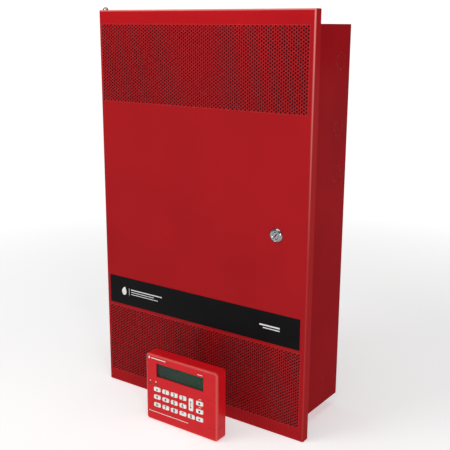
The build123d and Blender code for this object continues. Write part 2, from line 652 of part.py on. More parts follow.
def make_display():
    """Liquid crystal module in its metal frame, and the clear window in front of it."""
    west, east, low, high = LCD
    with BuildPart() as module:
        keypad_slab((west - 6, east + 6), (CASE_T + 1.5, BOARD_Y[0]), (low - 5, high + 5))
        keypad_slab((west - 1, east + 1), (CASE_T + 1, CASE_T + 2.7), (low - 1, high + 1), Mode.SUBTRACT)
        fillet(module.edges().filter_by(Axis.Y).group_by(Axis.X)[0], radius=1)
    with BuildPart() as lens:
        keypad_slab((west - 4, east + 4), (CASE_T, CASE_T + 1.5), (low - 4, high + 4))
        fillet(lens.edges().filter_by(Axis.Y), radius=2)
    return module, lens


def make_keypad_inside():
    with BuildPart() as board:
        keypad_slab((8, 170), BOARD_Y, (8, 136))
        fillet(board.edges().filter_by(Axis.Y), radius=3)
    with BuildPart() as mat:
        keypad_slab((16, 152), (9.2, BOARD_Y[0]), (28, 79))
        fillet(mat.edges().filter_by(Axis.Y), radius=3)
        for _, x, z, wide, tall in key_places():
            keypad_slab((x - wide / 3, x + wide / 3), (MAT_FRONT, 9.2), (z - tall / 3, z + tall / 3))
    with BuildPart() as leds:
        for x, z in ((12, 81), (26.5, 81.5)):
            keypad_slab((x - 2.9, x + 2.9), (0.7, BOARD_Y[0]), (z + 1.2 - 2.4, z + 1.2))
    return board, mat, leds


def make_key(x, z, wide, tall):
    with BuildPart() as key:
        with BuildSketch(Plane(origin=on_keypad(x, FLANGE_Y[0], z), x_dir=(1, 0, 0), z_dir=(0, -1, 0))):
            RectangleRounded(wide, tall, KEY_CORNER)
        extrude(amount=FLANGE_Y[0] + KEY_PROUD)
        fillet(key.faces().sort_by(Axis.Y)[0].edges(), radius=0.8)
        with BuildSketch(Plane(origin=on_keypad(x, FLANGE_Y[1], z), x_dir=(1, 0, 0), z_dir=(0, -1, 0))):
            RectangleRounded(wide + 2.4, tall + 2.4, KEY_CORNER + 0.4)
        extrude(amount=FLANGE_Y[1] - FLANGE_Y[0])
        keypad_slab((x - wide / 4, x + wide / 4), (FLANGE_Y[1], STEM_END), (z - tall / 4, z + tall / 4))
    return key


write(make_back_box(), "back_box")
for top in (True, False):
    place = "upper" if top else "lower"
    write(make_hinge_ear(top), f"{place}_hinge_ear")
    write(make_pivot_pin(top), f"{place}_pivot_pin")
write(make_lock_keeper(), "lock_keeper")

write(make_door_pan(), "door_pan")
for band, bottom in VENT_BOTTOMS.items():
    grille = make_vent_grille(bottom)
    grille.label = f"{band}_vent_grille"
    export_step(grille, f"parts/{band}_vent_grille.step")
write(make_vent_screens(), "vent_screens")
write(make_label_strip(), "label_strip")
write(make_lock_barrel(), "lock_barrel")
write(make_lock_plug(), "lock_plug")
write(make_lock_cam(), "lock_cam")
lock_nut, cam_screw = make_lock_fasteners()
write(lock_nut, "lock_nut")
write(cam_screw, "cam_screw")

write(make_mounting_plate(), "mounting_plate")
write(make_standoffs(), "standoffs")
write(make_board(MAIN_BOARD), "main_board")
strips = [make_terminal_strip(-169.0 + 66 * n, MAIN_BOARD[1][0] + 2, 11) for n in range(4)]
strips += [make_terminal_strip(outline[0][0] + 12, outline[1][0] + 2, 20) for outline in EXPANDERS]
with BuildPart() as terminal_strips:
    for strip in strips:
        add(strip.part)
write(terminal_strips, "terminal_strips")
with BuildPart() as expander_boards:
    for outline in EXPANDERS:
        add(make_board(outline).part)
write(expander_boards, "expander_boards")
write(make_board_components(), "board_components")
write(make_heat_sink(), "heat_sink")
transformer_core, transformer_coil = make_transformer()
write(transformer_core, "transformer_core")
write(transformer_coil, "transformer_coil")
ac_terminal_block, ac_cover = make_ac_supply()
write(ac_terminal_block, "ac_terminal_block")
write(ac_cover, "ac_cover")

for side, x in zip(("left", "right"), BATTERY_X):
    write(make_battery(x), f"battery_{side}")
write(make_battery_posts(), "battery_posts")
write(make_battery_bracket(), "battery_bracket")
for name, points in LEADS.items():
    lead, length = make_lead(points)
    write(lead, name)
    print(name, "length", round(length, 1), "radii", [round(r, 1) for r in bend_radii(points)])
tamper_switch, tamper_plunger = make_tamper_switch()
write(tamper_switch, "tamper_switch")
write(tamper_plunger, "tamper_plunger")

write(make_keypad_front(), "keypad_front")
write(make_keypad_back(), "keypad_back")
lcd_module, lcd_lens = make_display()
write(lcd_module, "lcd_module")
write(lcd_lens, "lcd_lens")
keypad_board, key_mat, status_leds = make_keypad_inside()
write(keypad_board, "keypad_board")
write(key_mat, "key_mat")
write(status_leds, "status_leds")
for name, x, z, wide, tall in key_places():
    write(make_key(x, z, wide, tall), name)
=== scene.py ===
import json
import math
import random

import bpy
from mathutils import Matrix, Vector
from mathutils.geometry import delaunay_2d_cdt


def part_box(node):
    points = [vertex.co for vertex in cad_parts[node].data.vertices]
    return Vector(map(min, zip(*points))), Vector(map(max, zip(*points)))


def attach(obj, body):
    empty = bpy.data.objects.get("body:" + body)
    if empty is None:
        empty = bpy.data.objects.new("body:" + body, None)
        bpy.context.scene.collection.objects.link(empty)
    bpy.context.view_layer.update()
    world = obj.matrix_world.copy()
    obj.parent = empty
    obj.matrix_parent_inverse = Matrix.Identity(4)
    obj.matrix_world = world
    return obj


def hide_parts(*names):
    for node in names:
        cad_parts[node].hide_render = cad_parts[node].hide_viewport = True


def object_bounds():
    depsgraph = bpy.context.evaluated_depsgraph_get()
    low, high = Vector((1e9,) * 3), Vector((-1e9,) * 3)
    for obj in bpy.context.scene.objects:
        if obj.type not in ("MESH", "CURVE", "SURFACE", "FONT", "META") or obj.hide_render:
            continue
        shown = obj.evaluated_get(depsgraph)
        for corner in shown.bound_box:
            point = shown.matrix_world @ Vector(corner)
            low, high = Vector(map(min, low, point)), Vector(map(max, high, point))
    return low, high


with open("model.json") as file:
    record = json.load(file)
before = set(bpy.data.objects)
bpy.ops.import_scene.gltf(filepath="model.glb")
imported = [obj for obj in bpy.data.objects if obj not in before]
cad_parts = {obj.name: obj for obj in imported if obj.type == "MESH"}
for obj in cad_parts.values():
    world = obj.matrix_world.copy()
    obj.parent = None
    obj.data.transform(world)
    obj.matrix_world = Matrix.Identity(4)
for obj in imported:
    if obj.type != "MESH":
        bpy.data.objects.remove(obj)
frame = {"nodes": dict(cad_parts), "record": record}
cad_low, cad_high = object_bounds()
nodes = frame["nodes"]
MM = 0.001
door_low, door_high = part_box("door_pan")
random.seed(7)


# ---------------------------------------------------------------- materials
def linear(red, green, blue):
    """Display values from 0 to 255 as linear colour."""
    def one(value):
        value /= 255
        return value / 12.92 if value <= 0.04045 else ((value + 0.055) / 1.055) ** 2.4
    return (one(red), one(green), one(blue), 1.0)


def shade(colour, factor):
    """The colour, darker or lighter by a factor."""
    return tuple(min(1.0, channel * factor) for channel in colour[:3]) + (1.0,)


def mixed(first, second, part):
    """A colour that is this part of the way from the first to the second."""
    return tuple(a + (b - a) * part for a, b in zip(first, second))


class Surface:
    """A Principled material whose colour, roughness and bump come from procedural nodes."""

    def __init__(self, name, metallic=0.0, **sockets):
        self.material = bpy.data.materials.new(name)
        self.material.use_nodes = True
        self.tree = self.material.node_tree
        self.shader = self.tree.nodes["Principled BSDF"]
        self.shader.inputs["Metallic"].default_value = metallic
        for socket, value in sockets.items():
            self.shader.inputs[socket.replace("_", " ")].default_value = value
        self.texture = self.node("ShaderNodeTexCoord")
        self.place = self.texture.outputs["Object"]
        self.height = None

    def node(self, kind, **settings):
        made = self.tree.nodes.new(kind)
        for key, value in settings.items():
            setattr(made, key, value)
        return made

    def link(self, source, target):
        self.tree.links.new(source, target)

    def noise(self, scale, detail=3.0, rough=0.5, stretch=None):
        """A noise value; scale is features per metre, stretch squeezes it along the axes."""
        made = self.node("ShaderNodeTexNoise")
        made.inputs["Scale"].default_value = scale
        made.inputs["Detail"].default_value = detail
        made.inputs["Roughness"].default_value = rough
        source = self.place
        if stretch:
            mapping = self.node("ShaderNodeMapping")
            mapping.inputs["Scale"].default_value = stretch
            self.link(source, mapping.inputs["Vector"])
            source = mapping.outputs["Vector"]
        self.link(source, made.inputs["Vector"])
        return made.outputs["Fac"]

    def between(self, value, low, high, start=0.3, stop=0.7):
        """Maps a value from start..stop to low..high."""
        made = self.node("ShaderNodeMapRange")
        for key, number in zip(("From Min", "From Max", "To Min", "To Max"), (start, stop, low, high)):
            made.inputs[key].default_value = number
        self.link(value, made.inputs["Value"])
        return made.outputs["Result"]

    def blend(self, mask, first, second):
        """Mixes two colours, or sockets, by a mask."""
        made = self.node("ShaderNodeMix", data_type="RGBA")
        self.link(mask, made.inputs["Factor"])
        for value, socket in ((first, made.inputs[6]), (second, made.inputs[7])):
            if isinstance(value, tuple):
                socket.default_value = value
            else:
                self.link(value, socket)
        return made.outputs[2]

    def math(self, operation, first, second=0.0):
        """A math node on two values or sockets."""
        made = self.node("ShaderNodeMath", operation=operation)
        for value, socket in zip((first, second), made.inputs):
            if isinstance(value, (int, float)):
                socket.default_value = value
            else:
                self.link(value, socket)
        return made.outputs[0]

    def edge_wear_and_highlight(self, radius, reach=0.35):
        """1 along outer edges, from how far a rounded normal leans off the true one."""
        bevel = self.node("ShaderNodeBevel", samples=4)
        bevel.inputs["Radius"].default_value = radius
        geometry = self.node("ShaderNodeNewGeometry")
        dot = self.node("ShaderNodeVectorMath", operation="DOT_PRODUCT")
        self.link(bevel.outputs["Normal"], dot.inputs[0])
        self.link(geometry.outputs["Normal"], dot.inputs[1])
        return self.between(dot.outputs["Value"], 1.0, 0.0, 1.0 - reach, 1.0)

    def paint_bend_highlight(self, tint, low, high):
        """Painted highlight, a paler colour where the front bends to the sides: faint at height low, full at
        height high.
        """
        split = self.node("ShaderNodeSeparateXYZ")
        self.link(self.texture.outputs["Normal"], split.inputs["Vector"])
        facing = self.math("POWER", split.outputs["Y"], 2.0)
        bend = self.math("MULTIPLY", facing, self.math("SUBTRACT", 4.0, self.math("MULTIPLY", facing, 4.0)))
        rise = self.node("ShaderNodeSeparateXYZ")
        self.link(self.place, rise.inputs["Vector"])
        reach = self.between(rise.outputs["Z"], FAINT_BEND_HIGHLIGHT, 1.0, low, high)
        old = self.shader.inputs["Base Color"].links[0].from_socket
        self.colour(self.blend(self.math("MULTIPLY", bend, reach), old, tint))

    def colour(self, value):
        """Takes the base colour from a socket."""
        self.link(value, self.shader.inputs["Base Color"])

    def roughness(self, value):
        """Takes the roughness from a socket."""
        self.link(value, self.shader.inputs["Roughness"])

    def bump(self, height, distance, strength):
        """Adds relief on top of the relief that is already there."""
        made = self.node("ShaderNodeBump")
        made.inputs["Distance"].default_value = distance
        made.inputs["Strength"].default_value = strength
        self.link(height, made.inputs["Height"])
        if self.height is not None:
            self.link(self.height, made.inputs["Normal"])
        self.height = made.outputs["Normal"]
        self.link(self.height, self.shader.inputs["Normal"])


# Colours, from what the photo shows and what the studio light makes of them.
# The bend tint is a painted highlight: a pale colour on the bends that stands in for a lamp's reflection.
BEND_HIGHLIGHT_TINT = linear(240, 150, 142)
# The edge tint is partly rubbed paint and partly a painted edge highlight.
WEAR_AND_HIGHLIGHT_TINT = (0.8, 0.5, 0.48, 1.0)
RED_DOOR = linear(170, 22, 28)
# The box's red is a darker copy of the door's: painted shade that keeps its side dark under the lamps.
RED_BOX_WITH_PAINTED_SHADE = linear(158, 20, 27)
RED_PAD = linear(214, 22, 31)
IVORY = linear(250, 249, 243)
STEEL = linear(200, 200, 204)
GOLD_PLATE = (0.45, 0.36, 0.16, 1.0)

FAINT_BEND_HIGHLIGHT = 0.12               # how much of the painted bend highlight is left low on a bend
DOOR_HIGHLIGHT_FADE = (-0.05, 0.36)  # the door's painted bend highlight fades in between these heights
PAD_HIGHLIGHT_FADE = (-2.0, -1.0)    # below the whole keypad, so that its painted bend highlight doesn't fade


def powder_coat(name, base, low=0.93, high=1.06, gloss=0.12, edge_radius=0.8, bends=False):
    """Satin powder-coated steel: fine orange peel, faint clouding, paler edges that are partly rubbed paint
    and partly painted highlight; with bends, a painted bend highlight.
    """
    made = Surface(name, Specular_IOR_Level=0.0, Coat_Weight=gloss, Coat_Roughness=0.17)
    cloud = made.between(made.noise(7.0, 4.0), 0.0, 1.0)
    coat = made.blend(cloud, shade(base, low), shade(base, high))
    speck = made.between(made.noise(1900.0, 1.0), 0.0, 0.22, 0.52, 0.75)
    coat = made.blend(speck, coat, shade(base, 0.72))
    patchy = made.between(made.noise(140.0), 0.0, 0.7)
    # Paler along outer edges, in patches: partly rubbed paint, partly a painted edge highlight.
    edge = made.math("MULTIPLY", made.edge_wear_and_highlight(edge_radius * MM), patchy)
    made.colour(made.blend(edge, coat, mixed(base, WEAR_AND_HIGHLIGHT_TINT, 0.35)))
    # With bends, a painted highlight on the door's bends, paler high up.
    if bends:
        made.paint_bend_highlight(mixed(base, BEND_HIGHLIGHT_TINT, 0.75), *DOOR_HIGHLIGHT_FADE)
    made.roughness(made.between(made.noise(60.0, 4.0), 0.33, 0.44))
    made.bump(made.noise(520.0, 2.0), 0.06 * MM, 0.55)
    made.bump(made.noise(2400.0, 1.0), 0.015 * MM, 0.5)
    return made.material


def moulded(name, base, rough=0.42, grain=1800.0, depth=0.02, spread=0.06, bends=False, **sockets):
    """Moulded plastic or rubber with a spark-eroded grain."""
    made = Surface(name, **sockets)
    cloud = made.between(made.noise(35.0, 4.0), 0.0, 1.0)
    made.colour(made.blend(cloud, shade(base, 1 - spread), shade(base, 1 + spread)))
    # With bends, a painted highlight on the keypad's bends, at full strength at every height.
    if bends:
        made.paint_bend_highlight(mixed(base, BEND_HIGHLIGHT_TINT, 0.3), *PAD_HIGHLIGHT_FADE)
    made.roughness(made.between(made.noise(260.0, 3.0), rough - 0.05, rough + 0.06))
    made.bump(made.noise(grain, 2.0), depth * MM, 0.6)
    return made.material


def bare_metal(name, base, rough, lines=(1.0, 1.0, 1.0), dirt=0.0):
    """Plated or drawn metal with fine scratches, drawn out along the axis where lines is small."""
    made = Surface(name, metallic=1.0)
    cloud = made.between(made.noise(90.0, 5.0), 0.0, 1.0)
    tone = made.blend(cloud, shade(base, 0.92), shade(base, 1.08))
    if dirt:
        grime = made.between(made.noise(400.0, 4.0), 0.0, dirt, 0.5, 0.8)
        tone = made.blend(grime, tone, shade(base, 0.35))
    made.colour(tone)
    made.roughness(made.between(made.noise(700.0, 3.0, stretch=lines), rough * 0.7, rough * 1.4))
    made.bump(made.noise(1600.0, 2.0, stretch=lines), 0.006 * MM, 0.5)
    return made.material


def circuit_board(name, base):
    """Solder mask over copper: tracks and vias show through as a lighter, raised net."""
    made = Surface(name, Specular_IOR_Level=0.5, Coat_Weight=0.4, Coat_Roughness=0.15)
    cells = made.node("ShaderNodeTexVoronoi", feature="DISTANCE_TO_EDGE", distance="MANHATTAN")
    cells.inputs["Scale"].default_value = 150.0
    made.link(made.place, cells.inputs["Vector"])
    track = made.between(cells.outputs["Distance"], 1.0, 0.0, 0.04, 0.09)
    vias = made.node("ShaderNodeTexVoronoi")
    vias.inputs["Scale"].default_value = 120.0
    made.link(made.place, vias.inputs["Vector"])
    via = made.between(vias.outputs["Distance"], 1.0, 0.0, 0.10, 0.15)
    mask = made.blend(made.between(made.noise(30.0), 0.0, 1.0), shade(base, 0.85), shade(base, 1.1))
    mask = made.blend(track, mask, shade(base, 1.7))
    made.colour(made.blend(via, mask, GOLD_PLATE))
    made.roughness(made.between(made.noise(200.0), 0.28, 0.4))
    made.bump(track, 0.05 * MM, 0.5)
    return made.material


def laminated(name, base):
    """A stack of varnished core sheets, seen as fine lines along the depth."""
    made = Surface(name, metallic=0.7)
    wave = made.node("ShaderNodeTexWave", bands_direction="Y")
    wave.inputs["Scale"].default_value = 300.0
    wave.inputs["Distortion"].default_value = 0.4
    made.link(made.place, wave.inputs["Vector"])
    made.colour(made.blend(wave.outputs["Fac"], shade(base, 0.6), shade(base, 1.3)))
    made.roughness(made.between(made.noise(300.0), 0.4, 0.6))
    made.bump(wave.outputs["Fac"], 0.15 * MM, 0.6)
    return made.material


def clear_plastic(name, tint, cover, rough=0.05, gloss=0.3):
    """Clear moulded plastic: mostly see-through, with fine scratches that catch the light."""
    made = Surface(name, Alpha=cover, Specular_IOR_Level=gloss)
    scratch = made.between(made.noise(900.0, 3.0, stretch=(1, 1, 0.2)), 0.0, 1.0)
    made.colour(made.blend(scratch, tint, shade(tint, 0.9)))
    made.roughness(made.between(scratch, rough * 0.6, rough * 1.6, 0.0, 1.0))
    return made.material


DISPLAY_COLUMNS, DISPLAY_ROWS = 16.0, 2.0
CELL_SHARE = 0.41               # half of a character cell's share of its pitch


def display_cell(name):
    """Unlit liquid crystal: dark grey green with two faint rows of character cells."""
    made = Surface(name, Specular_IOR_Level=0.0)
    low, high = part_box("lcd_lens")
    split = made.node("ShaderNodeSeparateXYZ")
    made.link(made.place, split.inputs["Vector"])
    across = made.between(split.outputs["X"], 0.0, DISPLAY_COLUMNS, low.x + 10 * MM, high.x - 10 * MM)
    up = made.between(split.outputs["Z"], 0.0, DISPLAY_ROWS, low.z + 9 * MM, high.z - 9 * MM)
    inside = []
    for value in (across, up):
        from_middle = made.math("SUBTRACT", made.math("FRACT", value), 0.5)
        inside.append(made.math("LESS_THAN", made.math("ABSOLUTE", from_middle), CELL_SHARE))
    cell = made.math("MULTIPLY", *inside)
    fade = made.between(split.outputs["X"], 0.0, 1.0, low.x, high.x)
    ground = made.blend(fade, linear(66, 76, 72), linear(52, 84, 66))
    ground = made.blend(made.between(made.noise(40.0), 0.0, 0.3), ground, linear(80, 88, 80))
    made.colour(made.blend(made.math("MULTIPLY", cell, 0.08), ground, linear(40, 52, 46)))
    made.roughness(made.between(made.noise(300.0), 0.5, 0.6))
    return made.material


def dust_screen(name):
    """Fine black woven screen; its near-black colour is painted shade, standing in for the shadow seen
    through the vent holes.
    """
    made = Surface(name, Specular_IOR_Level=0.1)
    threads = []
    for direction in "XZ":
        wave = made.node("ShaderNodeTexWave", bands_direction=direction)
        wave.inputs["Scale"].default_value = 500.0
        made.link(made.place, wave.inputs["Vector"])
        threads.append(wave.outputs["Fac"])
    weave = made.math("MULTIPLY", *threads)
    made.colour(made.blend(weave, linear(20, 12, 13), linear(34, 22, 23)))
    made.roughness(made.between(made.noise(500.0), 0.75, 0.9))
    made.bump(weave, 0.1 * MM, 0.8)
    return made.material


# One material for each slot of the record.
looks = {
    "red_enamel_door": powder_coat("powder_red_door", RED_DOOR, bends=True),
    # The box wears the darker red: painted shade on its side.
    "red_enamel_box": powder_coat("powder_red_box_painted_shade", RED_BOX_WITH_PAINTED_SHADE, 0.9, 1.05, 0.06, 1.2),
    "black_label": moulded("label_film", linear(14, 14, 16), 0.4, 2600.0, 0.008, 0.12,
                           Specular_IOR_Level=0.06),
    "bright_steel": bare_metal("bright_steel", linear(158, 158, 163), 0.1, dirt=0.5),
    "zinc_steel": bare_metal("zinc_plate", STEEL, 0.34, (1, 1, 0.1), dirt=0.4),
    "white_plate": powder_coat("white_enamel", linear(214, 214, 208), 0.96, 1.02),
    "nylon": moulded("nylon", linear(222, 220, 208), 0.5, 900.0),
    "board_green": circuit_board("circuit_board", linear(20, 92, 52)),
    "terminal_green": moulded("terminal_green", linear(44, 130, 70), 0.45),
    "component_black": moulded("component_black", linear(34, 34, 37), 0.5, 1500.0, 0.03, 0.2),
    "aluminium_fin": bare_metal("aluminium_fin", linear(190, 192, 196), 0.38, (0.1, 1, 1)),
    "core_steel": laminated("core_laminations", linear(96, 94, 96)),
    "coil_tape": moulded("coil_tape", linear(196, 152, 44), 0.38, 500.0, 0.05, 0.15),
    "cover_clear": clear_plastic("cover_clear", linear(226, 236, 240), 0.22),
    "battery_case": moulded("battery_case", linear(58, 60, 66), 0.55, 1100.0, 0.05, 0.14),
    "battery_metal": bare_metal("tinned_post", linear(180, 180, 176), 0.4, dirt=0.5),
    "lead_red": moulded("lead_red", linear(186, 22, 24), 0.46, 1300.0, 0.01),
    "lead_black": moulded("lead_black", linear(28, 28, 30), 0.5, 1300.0, 0.01),
    "keypad_red": moulded("keypad_red", RED_PAD, 0.34, 2400.0, 0.012, 0.04, bends=True,
                          Specular_IOR_Level=0.05, Coat_Weight=0.3, Coat_Roughness=0.16),
    "keypad_key": moulded("key_ivory", IVORY, 0.4, 2200.0, 0.01, 0.04, Subsurface_Weight=0.12,
                          Subsurface_Scale=0.002),
    "display_dark": display_cell("display_cell"),
    "clear_window": clear_plastic("lens_clear", linear(60, 70, 64), 0.06, 0.3, 0.0),
    "silicone_mat": moulded("silicone_mat", linear(120, 120, 124), 0.6),
    # The dust screen's near-black is painted shade behind the vent holes.
    "dust_screen": dust_screen("dust_screen"),
    "led_lens": moulded("led_lens", linear(86, 10, 14), 0.16, 800.0, 0.004, 0.1, Coat_Weight=0.8),
}
# Painted shade: a dark red on the walls of the punched holes, standing in for the shadow inside each hole.
painted_hole_shade = powder_coat("painted_hole_shade", linear(46, 5, 7), gloss=0.02)
white_ink = moulded("white_ink", linear(236, 236, 234), 0.45, 3000.0, 0.004, 0.03)
black_ink = moulded("black_ink", linear(14, 14, 26), 0.6, 3000.0, 0.004, 0.1, Specular_IOR_Level=0.1)
silk_ink = moulded("silk_ink", linear(216, 220, 214), 0.6, 2000.0, 0.01, 0.08)
can_metal = bare_metal("capacitor_can", linear(186, 188, 192), 0.3)


SHARP_ANGLE = math.radians(33)


def smooth_cad(node):
    """Even shading on a CAD mesh: shared points, sharp edges kept, flat faces left flat."""
    node.data.polygons.foreach_set("use_smooth", [True] * len(node.data.polygons))
    weld = node.modifiers.new("weld", "WELD")
    weld.merge_threshold = 0.001 * MM
    split = node.modifiers.new("split", "EDGE_SPLIT")
    split.split_angle = SHARP_ANGLE
    weighted = node.modifiers.new("weighted", "WEIGHTED_NORMAL")
    weighted.keep_sharp = True


slot_of = {part["node"]: part["material_slot"] for part in frame["record"]["subparts"]}
for name, node in nodes.items():
    node.data.materials.clear()
    node.data.materials.append(looks[slot_of[name]])
    smooth_cad(node)


# ---------------------------------------------------------------- making pieces
def add_piece(name, verts, faces, material, body):
    """A mesh piece that rides on a body and takes the material it is given."""
    mesh = bpy.data.meshes.new(name)
    mesh.from_pydata([tuple(v) for v in verts], [], faces)
    mesh.update()
    mesh.materials.append(material)
    piece = bpy.data.objects.new(name, mesh)
    bpy.context.scene.collection.objects.link(piece)
    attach(piece, body)
    return piece


def joined(name, shapes, material, body):
    """One piece from several (points, faces) shapes."""
    verts, faces = [], []
    for points, sides in shapes:
        start = len(verts)
        verts.extend(points)
        faces.extend([tuple(start + index for index in side) for side in sides])
    add_piece(name, verts, faces, material, body)


def prism(outline, front, back):
    """A flat outline of (x, z) points, counter-clockwise from the front, from depth front to back."""
    count = len(outline)
    points = [(x, front, z) for x, z in outline] + [(x, back, z) for x, z in outline]
    sides = [tuple(range(count)), tuple(range(2 * count - 1, count - 1, -1))]
    for at in range(count):
        after = (at + 1) % count
        sides.append((at, at + count, after + count, after))
    return points, sides


def disc(x, z, radius, count=20, phase=0.0):
    """Outline of a disc, or of a regular polygon that has few corners."""
    return [(x + radius * math.cos(phase + math.tau * step / count),
             z + radius * math.sin(phase + math.tau * step / count)) for step in range(count)]


def bar(left, low, width, height):
    """Outline of a rectangle, from its lower left corner."""
    return [(left, low), (left + width, low), (left + width, low + height), (left, low + height)]


# ---------------------------------------------------------------- punched vents
HOLE_R, HOLE_SIDES = 2.05 * MM, 12
HOLE_PITCH = 9.525 * MM         # 3/8 inch between the holes of a row
ROW_PITCH = 3.175 * MM          # 1/8 inch between rows, and every second row is staggered
HOLE_ROWS, HOLES_IN_ROW = 48, 51
PUNCHED_T = 0.9 * MM


def punched_sheet(node):
    """The door's vent at its real pattern: 3/8 by 1/4 inch staggered holes, each one cut through."""
    low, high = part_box(node)
    first_x = (low.x + high.x - (HOLES_IN_ROW - 0.5) * HOLE_PITCH) / 2
    first_z = (low.z + high.z - (HOLE_ROWS - 1) * ROW_PITCH) / 2
    points = [Vector(corner) for corner in bar(low.x, low.z, high.x - low.x, high.z - low.z)]
    loops = [[0, 1, 2, 3]]
    for row in range(HOLE_ROWS):
        stagger = HOLE_PITCH / 2 if row % 2 else 0.0
        for column in range(HOLES_IN_ROW):
            x, z = first_x + column * HOLE_PITCH + stagger, first_z + row * ROW_PITCH
            ring = disc(x, z, HOLE_R, HOLE_SIDES)
            loops.append(list(range(len(points), len(points) + HOLE_SIDES)))
            points.extend(Vector(point) for point in ring)
    flat, _, sides, _, _, sources = delaunay_2d_cdt(points, [], loops, 1, 1e-7)
    front = [side for side, source in zip(sides, sources) if source == [0]]
    count = len(flat)
    verts = [(v.x, low.y, v.y) for v in flat] + [(v.x, low.y + PUNCHED_T, v.y) for v in flat]
    edges = dict.fromkeys(edge for side in front for edge in zip(side, side[1:] + side[:1]))
    rims = [edge for edge in edges if (edge[1], edge[0]) not in edges]
    faces = [tuple(side) for side in front]
    faces += [tuple(count + index for index in reversed(side)) for side in front]
    faces += [(first, first + count, second + count, second) for first, second in rims]
    sheet = add_piece(node + "_punched", verts, faces, looks["red_enamel_door"], "door")
    # The hole walls take the painted shade.
    sheet.data.materials.append(painted_hole_shade)
    sheet.data.polygons.foreach_set("material_index", [0] * (2 * len(front)) + [1] * len(rims))
    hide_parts(node)


for vent in ("upper_vent_grille", "lower_vent_grille"):
    punched_sheet(vent)


# ---------------------------------------------------------------- marks on the label strip
FLAME_POINTS = 28
STRIP_INK = 0.05 * MM


def flame(x, z, size):
    """A plain flame: a pointed drop with a leaning tip."""
    shape = []
    for step in range(FLAME_POINTS):
        turn = math.tau * step / FLAME_POINTS
        upper = max(0.0, math.cos(turn))
        wide = 0.5 * size * math.sin(turn) * (1 - 0.35 * upper)
        tall = 0.72 * size * math.cos(turn)
        lean = 0.16 * size * upper ** 2
        shape.append((x - wide + lean, z + tall))
    return shape


def label_marks():
    """A flame, a divider and rule lines, printed where such a strip carries words."""
    low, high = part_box("label_strip")
    middle = (low.z + high.z) / 2
    left, right = low.x + 40 * MM, high.x - 90 * MM
    outlines = [flame(left, middle, 13 * MM), bar(left + 14 * MM, middle - 8 * MM, 1.0 * MM, 16 * MM)]
    for line, (width, height) in enumerate(((86, 2.2), (64, 1.4), (75, 1.4))):
        rise = middle + (4.6 - 4.9 * line) * MM
        outlines.append(bar(left + 20 * MM, rise, width * MM, height * MM))
    for line, (start, width, height) in enumerate(((0, 46, 3.0), (8, 38, 2.0))):
        rise = middle + (1.6 - 4.9 * line) * MM
        outlines.append(bar(right + start * MM, rise, width * MM, height * MM))
    shapes = [prism(outline, low.y - STRIP_INK, low.y) for outline in outlines]
    joined("label_marks", shapes, white_ink, "door")


label_marks()


# ---------------------------------------------------------------- keypad marks
KEY_INK = 0.02 * MM             # half the thickness of a figure's print
DIGIT_SIZE, DIGIT_WEIGHT = 9.6 * MM, 0.3 * MM
KEY_DIGITS = {
    "key_row1_2": "1", "key_row1_3": "2", "key_row1_4": "3",
    "key_row2_2": "4", "key_row2_3": "5", "key_row2_4": "6",
    "key_row3_2": "7", "key_row3_3": "8", "key_row3_4": "9", "key_row3_5": "0",
}
UP, DOWN = math.radians(90), math.radians(-90)


def key_text(name, words, x, z, depth, body):
    """A figure on a key, as a thin print."""
    curve = bpy.data.curves.new(name, "FONT")
    curve.body = words
    curve.size = DIGIT_SIZE
    curve.offset = DIGIT_WEIGHT
    curve.align_x = "CENTER"
    curve.align_y = "CENTER"
    curve.extrude = KEY_INK
    writer = bpy.data.objects.new(name + "_text", curve)
    bpy.context.scene.collection.objects.link(writer)
    bpy.context.view_layer.update()
    mesh = bpy.data.meshes.new_from_object(writer.evaluated_get(bpy.context.evaluated_depsgraph_get()))
    bpy.data.objects.remove(writer)
    mesh.transform(Matrix.Rotation(math.radians(90), 4, "X"))
    mesh.transform(Matrix.Translation((x, depth, z)))
    mesh.materials.clear()
    mesh.materials.append(black_ink)
    piece = bpy.data.objects.new(name, mesh)
    bpy.context.scene.collection.objects.link(piece)
    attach(piece, body)


def arrow(x, z, size, turn):
    """A triangle that points along turn."""
    return disc(x, z, size, 3, turn)


def key_sign(key, x, z):
    """Outlines of the plain sign on a key that has no figure."""
    return {
        "key_row1_1": [arrow(x, z - 0.6 * MM, 3.2 * MM, UP)],
        "key_row2_1": [arrow(x, z + 0.6 * MM, 3.2 * MM, DOWN)],
        "key_row3_1": [bar(x - 3.6 * MM, z + 0.8 * MM, 7.2 * MM, 1.5 * MM),
                       bar(x - 3.6 * MM, z - 2.0 * MM, 7.2 * MM, 1.5 * MM)],
        "key_tall": [bar(x - 0.6 * MM, z - 5 * MM, 1.2 * MM, 10 * MM),
                     arrow(x, z + 6 * MM, 2.6 * MM, UP), arrow(x, z - 6 * MM, 2.6 * MM, DOWN)],
        "key_side_1": [disc(x, z, 2.3 * MM)],
        "key_side_2": [bar(x - 2.2 * MM, z - 2.0 * MM, 4.4 * MM, 4.0 * MM)],
        "key_side_3": [arrow(x + 0.4 * MM, z, 2.6 * MM, 0.0),
                       bar(x - 3.8 * MM, z - 0.5 * MM, 3 * MM, 1 * MM)],
    }[key]


def key_marks():
    """A figure or a sign on each key, riding on its key."""
    for key in (name for name in nodes if name.startswith("key_") and name != "key_mat"):
        low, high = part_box(key)
        x, z, face = (low.x + high.x) / 2, (low.z + high.z) / 2, low.y - 0.015 * MM
        if key in KEY_DIGITS:
            key_text(key + "_mark", KEY_DIGITS[key], x, z, face, key)
        else:
            shapes = [prism(outline, face, low.y + 0.02 * MM) for outline in key_sign(key, x, z)]
            joined(key + "_mark", shapes, black_ink, key)


